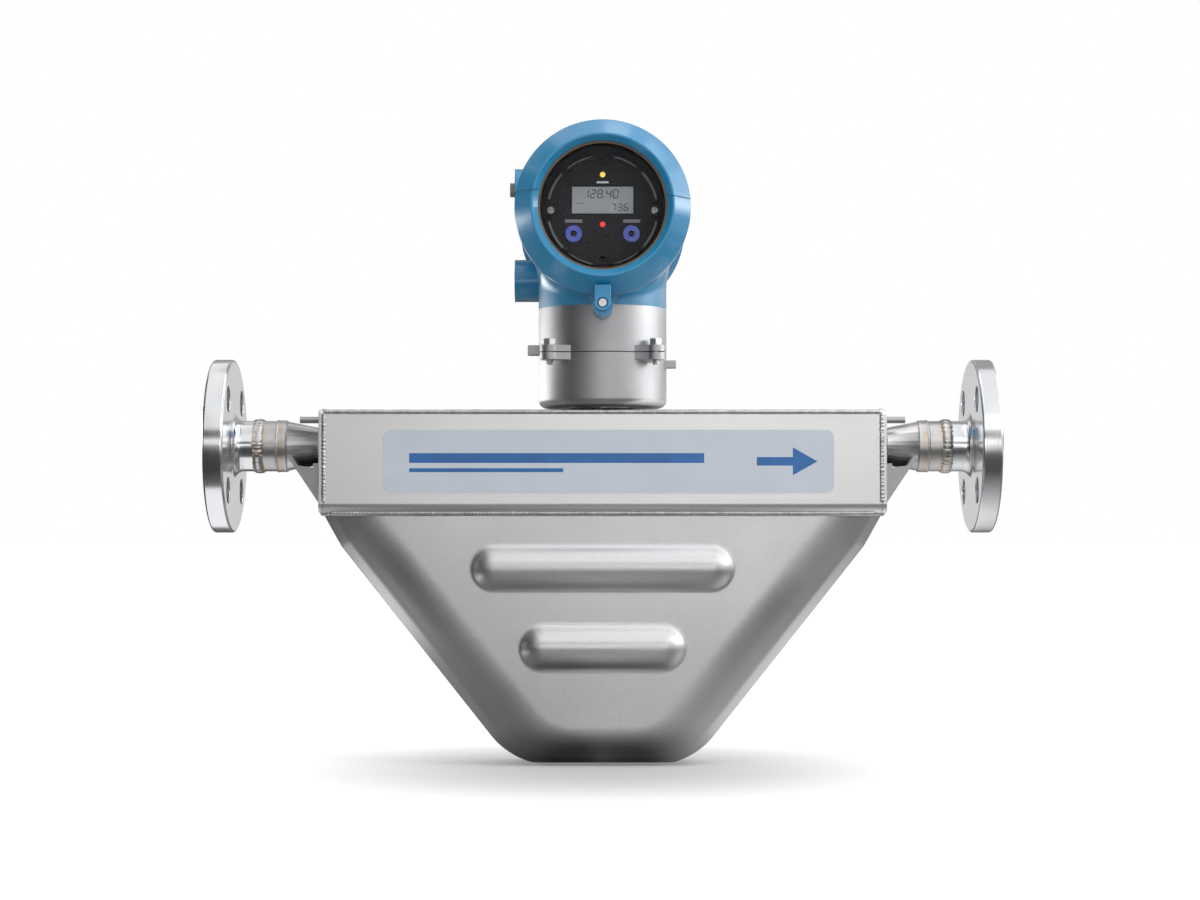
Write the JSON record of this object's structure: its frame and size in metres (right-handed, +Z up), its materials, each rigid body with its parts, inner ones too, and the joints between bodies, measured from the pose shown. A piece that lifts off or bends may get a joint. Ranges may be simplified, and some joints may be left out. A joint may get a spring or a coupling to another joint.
{
  "type": "coriolis flow meter",
  "caption": "Flanged Coriolis mass flow meter with a V-shaped steel sensor case and a blue field transmitter with a round display on its neck.",
  "frame": {"origin": "middle of the flat underside of the lower case", "axes": "+X along the pipe from the inlet to the outlet, -Y is the display side, +Z up"},
  "size_m": [0.488, 0.1502, 0.3922],
  "materials": {
    "machined_steel": "machined stainless steel, satin to bright",
    "blasted_steel": "bead-blasted stainless sheet",
    "tube_steel": "drawn stainless tube, bright",
    "cast_steel": "investment-cast stainless, satin",
    "bolt_steel": "bright stainless fasteners",
    "plug_steel": "dull steel",
    "blue_paint": "semi-gloss polyurethane paint, light blue",
    "label_foil": "printed foil, pale grey-blue",
    "black_moulding": "moulded, fine texture",
    "potting_resin": "potted resin",
    "window_glass": "clear toughened glass",
    "lcd": "liquid crystal screen, grey",
    "amber_lamp": "amber lens",
    "red_window": "red lens",
    "blue_window": "blue ring lens",
    "circuit_board": "coated board",
    "copper": "enamelled copper",
    "magnet_alloy": "sintered magnet and keeper",
    "black_rubber": "moulded seal",
    "brown_rubber": "moulded gasket"
  },
  "bodies": {
    "meter": {"inlet_flange": "machined_steel", "outlet_flange": "machined_steel", "inlet_manifold": "machined_steel", "outlet_manifold": "machined_steel", "inlet_bracket": "blasted_steel", "outlet_bracket": "blasted_steel", "case_channel": "blasted_steel", "case_top_plate": "blasted_steel", "inlet_end_plate": "blasted_steel", "outlet_end_plate": "blasted_steel", "front_case_shell": "blasted_steel", "rear_case_shell": "blasted_steel", "inlet_tube_brace": "tube_steel", "outlet_tube_brace": "tube_steel", "lead_board": "circuit_board", "sensor_leads": "copper", "inlet_purge_stub": "blasted_steel", "outlet_purge_stub": "blasted_steel", "front_label_plate": "label_foil", "neck_stem": "cast_steel", "neck_cup": "cast_steel", "neck_ring": "cast_steel", "neck_gasket": "black_rubber", "neck_bolts": "bolt_steel", "core_processor": "potting_resin", "transmitter_housing": "blue_paint", "display_panel": "black_moulding", "lcd_screen": "lcd", "display_screws": "bolt_steel", "status_lamp": "amber_lamp", "infrared_window": "red_window", "scroll_switch_window": "blue_window", "select_switch_window": "blue_window", "electronics_module": "potting_resin", "terminal_block": "potting_resin", "terminal_screws": "bolt_steel", "conduit_plug": "plug_steel"},
    "front_tube": {"front_flow_tube": "tube_steel", "drive_coil": "copper", "inlet_pickoff_coil": "copper", "outlet_pickoff_coil": "copper", "tube_temperature_sensor": "black_moulding"},
    "rear_tube": {"rear_flow_tube": "tube_steel", "drive_magnet": "magnet_alloy", "inlet_pickoff_magnet": "magnet_alloy", "outlet_pickoff_magnet": "magnet_alloy"},
    "display_seal": {"display_cover_seal": "black_rubber"},
    "display_cover": {"display_cover": "blue_paint", "cover_glass": "window_glass", "glass_gasket": "brown_rubber", "glass_retaining_ring": "black_moulding"},
    "wiring_seal": {"wiring_cover_seal": "black_rubber"},
    "wiring_cover": {"wiring_cover": "blue_paint"},
    "cover_lock": {"cover_lock_clamp": "blue_paint", "cover_lock_screw": "bolt_steel"}
  },
  "joints": [
    {"name": "front_tube_sway", "type": "hinge", "parent": "meter", "child": "front_tube", "pos_m": [0, -0.0155, 0.197], "axis": [1, 0, 0], "range_deg": [-0.1, 0.1], "stiffness_Nm_per_rad": 20},
    {"name": "rear_tube_sway", "type": "hinge", "parent": "meter", "child": "rear_tube", "pos_m": [0, 0.0155, 0.197], "axis": [1, 0, 0], "range_deg": [-0.1, 0.1], "stiffness_Nm_per_rad": 20},
    {"name": "display_cover_travel", "type": "slide", "parent": "meter", "child": "display_seal", "axis": [0, -1, 0], "range_m": [0, 0.01]},
    {"name": "display_cover_turn", "type": "hinge", "parent": "display_seal", "child": "display_cover", "pos_m": [0, 0, 0.339], "axis": [0, -1, 0], "range_deg": [0, 1800]},
    {"name": "wiring_cover_travel", "type": "slide", "parent": "meter", "child": "wiring_seal", "axis": [0, 1, 0], "range_m": [0, 0.01]},
    {"name": "wiring_cover_turn", "type": "hinge", "parent": "wiring_seal", "child": "wiring_cover", "pos_m": [0, 0, 0.339], "axis": [0, 1, 0], "range_deg": [0, 1800]},
    {"name": "cover_lock_travel", "type": "slide", "parent": "meter", "child": "cover_lock", "axis": [0, -1, 0], "range_m": [0, 0.012]}
  ],
  "couplings": [
    {"joint": "rear_tube_sway", "follows": "front_tube_sway", "ratio": -1},
    {"joint": "display_cover_travel", "follows": "display_cover_turn", "m_per_rad": 0.0003183},
    {"joint": "cover_lock_travel", "follows": "display_cover_turn", "m_per_rad": 0.0003819},
    {"joint": "wiring_cover_travel", "follows": "wiring_cover_turn", "m_per_rad": 0.0003183}
  ]
}
